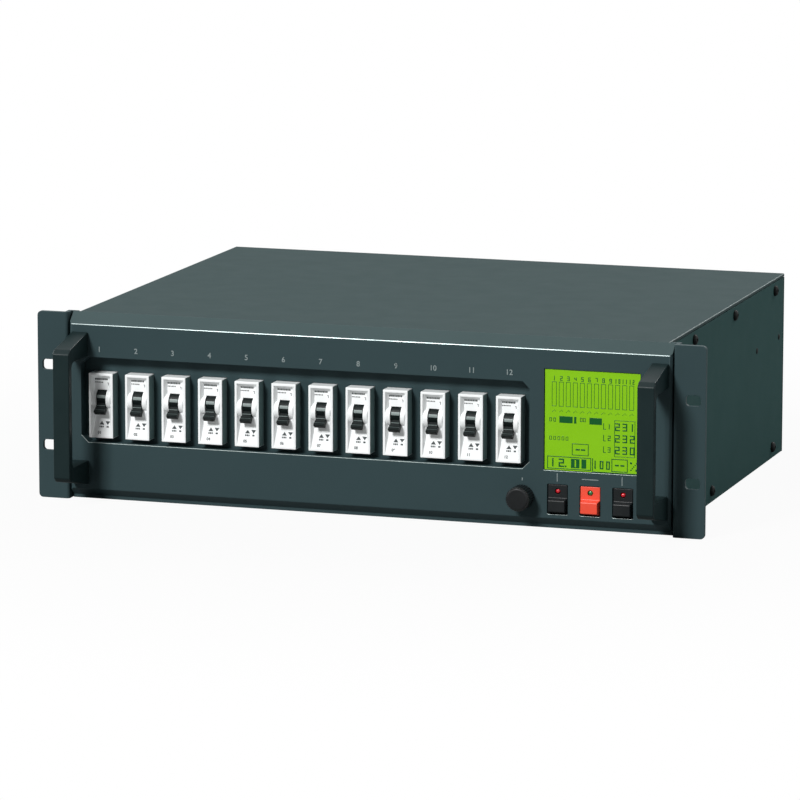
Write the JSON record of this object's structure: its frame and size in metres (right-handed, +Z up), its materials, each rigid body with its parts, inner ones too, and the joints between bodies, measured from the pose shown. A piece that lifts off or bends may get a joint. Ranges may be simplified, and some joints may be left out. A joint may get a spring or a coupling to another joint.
{
  "type": "dimmer pack",
  "caption": "Rack-mounted stage dimmer pack: a slate-grey steel case with a window of circuit breakers, a display, keys, a knob and two front handles.",
  "frame": {"origin": "middle of the bottom of the bounding box: on the mid-plane of the pack, halfway from the front of the handles to the end of the cable gland, at the height of the base", "axes": "+X towards the display end of the front panel (the right as seen from the front), +Y from the front panel to the rear panel, +Z up"},
  "size_m": [0.4826, 0.3918, 0.1325],
  "materials": {
    "front_paint": "fine satin slate-grey powder coat",
    "case_paint": "fine satin slate-grey powder coat",
    "cover_paint": "fine satin slate-grey powder coat",
    "handle_black": "satin black anodised",
    "breaker_white": "moulded, slightly silky",
    "toggle_black": "moulded",
    "knob_black": "moulded, ribbed",
    "key_black": "moulded",
    "key_red": "moulded",
    "lamp_red": "clear red lens",
    "lamp_green": "clear green lens",
    "display_green": "backlit yellow-green liquid crystal display",
    "display_body": "pressed metal frame, black",
    "circuit_board": "epoxy glass board with solder mask",
    "bare_steel": "zinc plated",
    "bare_aluminium": "extruded",
    "copper_wire": "enamelled copper wire",
    "fan_black": "moulded",
    "socket_grey": "moulded",
    "socket_black": "die cast, black",
    "gland_black": "moulded nylon"
  },
  "bodies": {
    "root": {"front_panel": "front_paint", "breaker_plate": "front_paint", "rack_ear_left": "front_paint", "rack_ear_right": "front_paint", "side_panel_left": "case_paint", "side_panel_right": "case_paint", "rear_panel": "case_paint", "base_tray": "case_paint", "top_cover": "cover_paint", "handle_left": "handle_black", "handle_right": "handle_black", "breaker_housing_01": "breaker_white", "breaker_housing_02": "breaker_white", "breaker_housing_03": "breaker_white", "breaker_housing_04": "breaker_white", "breaker_housing_05": "breaker_white", "breaker_housing_06": "breaker_white", "breaker_housing_07": "breaker_white", "breaker_housing_08": "breaker_white", "breaker_housing_09": "breaker_white", "breaker_housing_10": "breaker_white", "breaker_housing_11": "breaker_white", "breaker_housing_12": "breaker_white", "key_lamp_left": "lamp_red", "key_lamp_right": "lamp_red", "key_lamp_centre": "lamp_green", "display_glass": "display_green", "display_module": "display_body", "control_board": "circuit_board", "triac_board": "circuit_board", "driver_board": "circuit_board", "mounting_rail": "bare_steel", "encoder": "bare_steel", "transformer": "bare_steel", "heat_sink": "bare_aluminium", "choke_board": "copper_wire", "fan_frame": "fan_black", "output_socket_1": "socket_grey", "output_socket_2": "socket_grey", "terminal_block": "socket_grey", "data_inlet": "socket_black", "data_outlet": "socket_black", "mains_gland": "gland_black"},
    "toggle_01": {"breaker_toggle_01": "toggle_black"},
    "toggle_02": {"breaker_toggle_02": "toggle_black"},
    "toggle_03": {"breaker_toggle_03": "toggle_black"},
    "toggle_04": {"breaker_toggle_04": "toggle_black"},
    "toggle_05": {"breaker_toggle_05": "toggle_black"},
    "toggle_06": {"breaker_toggle_06": "toggle_black"},
    "toggle_07": {"breaker_toggle_07": "toggle_black"},
    "toggle_08": {"breaker_toggle_08": "toggle_black"},
    "toggle_09": {"breaker_toggle_09": "toggle_black"},
    "toggle_10": {"breaker_toggle_10": "toggle_black"},
    "toggle_11": {"breaker_toggle_11": "toggle_black"},
    "toggle_12": {"breaker_toggle_12": "toggle_black"},
    "key_left": {"key_left": "key_black"},
    "key_centre": {"key_centre": "key_red"},
    "key_right": {"key_right": "key_black"},
    "knob": {"knob": "knob_black"},
    "fan": {"fan_rotor": "fan_black"}
  },
  "joints": [
    {"name": "toggle_01_hinge", "type": "hinge", "parent": "root", "child": "toggle_01", "pos_m": [-0.1942, -0.1525, 0.07305], "axis": [-1, 0, 0], "range_deg": [0, 80]},
    {"name": "toggle_02_hinge", "type": "hinge", "parent": "root", "child": "toggle_02", "pos_m": [-0.1672, -0.1525, 0.07305], "axis": [-1, 0, 0], "range_deg": [0, 80]},
    {"name": "toggle_03_hinge", "type": "hinge", "parent": "root", "child": "toggle_03", "pos_m": [-0.1402, -0.1525, 0.07305], "axis": [-1, 0, 0], "range_deg": [0, 80]},
    {"name": "toggle_04_hinge", "type": "hinge", "parent": "root", "child": "toggle_04", "pos_m": [-0.1132, -0.1525, 0.07305], "axis": [-1, 0, 0], "range_deg": [0, 80]},
    {"name": "toggle_05_hinge", "type": "hinge", "parent": "root", "child": "toggle_05", "pos_m": [-0.0862, -0.1525, 0.07305], "axis": [-1, 0, 0], "range_deg": [0, 80]},
    {"name": "toggle_06_hinge", "type": "hinge", "parent": "root", "child": "toggle_06", "pos_m": [-0.0592, -0.1525, 0.07305], "axis": [-1, 0, 0], "range_deg": [0, 80]},
    {"name": "toggle_07_hinge", "type": "hinge", "parent": "root", "child": "toggle_07", "pos_m": [-0.0322, -0.1525, 0.07305], "axis": [-1, 0, 0], "range_deg": [0, 80]},
    {"name": "toggle_08_hinge", "type": "hinge", "parent": "root", "child": "toggle_08", "pos_m": [-0.0052, -0.1525, 0.07305], "axis": [-1, 0, 0], "range_deg": [0, 80]},
    {"name": "toggle_09_hinge", "type": "hinge", "parent": "root", "child": "toggle_09", "pos_m": [0.0218, -0.1525, 0.07305], "axis": [-1, 0, 0], "range_deg": [0, 80]},
    {"name": "toggle_10_hinge", "type": "hinge", "parent": "root", "child": "toggle_10", "pos_m": [0.0488, -0.1525, 0.07305], "axis": [-1, 0, 0], "range_deg": [0, 80]},
    {"name": "toggle_11_hinge", "type": "hinge", "parent": "root", "child": "toggle_11", "pos_m": [0.0758, -0.1525, 0.07305], "axis": [-1, 0, 0], "range_deg": [0, 80]},
    {"name": "toggle_12_hinge", "type": "hinge", "parent": "root", "child": "toggle_12", "pos_m": [0.1028, -0.1525, 0.07305], "axis": [-1, 0, 0], "range_deg": [0, 80]},
    {"name": "key_left_slide", "type": "slide", "parent": "root", "child": "key_left", "axis": [0, 1, 0], "range_m": [0, 0.002], "stiffness_N_per_m": 600},
    {"name": "key_centre_slide", "type": "slide", "parent": "root", "child": "key_centre", "axis": [0, 1, 0], "range_m": [0, 0.002], "stiffness_N_per_m": 600},
    {"name": "key_right_slide", "type": "slide", "parent": "root", "child": "key_right", "axis": [0, 1, 0], "range_m": [0, 0.002], "stiffness_N_per_m": 600},
    {"name": "knob_spin", "type": "hinge", "parent": "root", "child": "knob", "pos_m": [0.1128, -0.1584, 0.02195], "axis": [0, 1, 0], "continuous": true},
    {"name": "fan_spin", "type": "hinge", "parent": "root", "child": "fan", "pos_m": [-0.11, -0.1584, 0.04625], "axis": [0, 1, 0], "continuous": true}
  ]
}
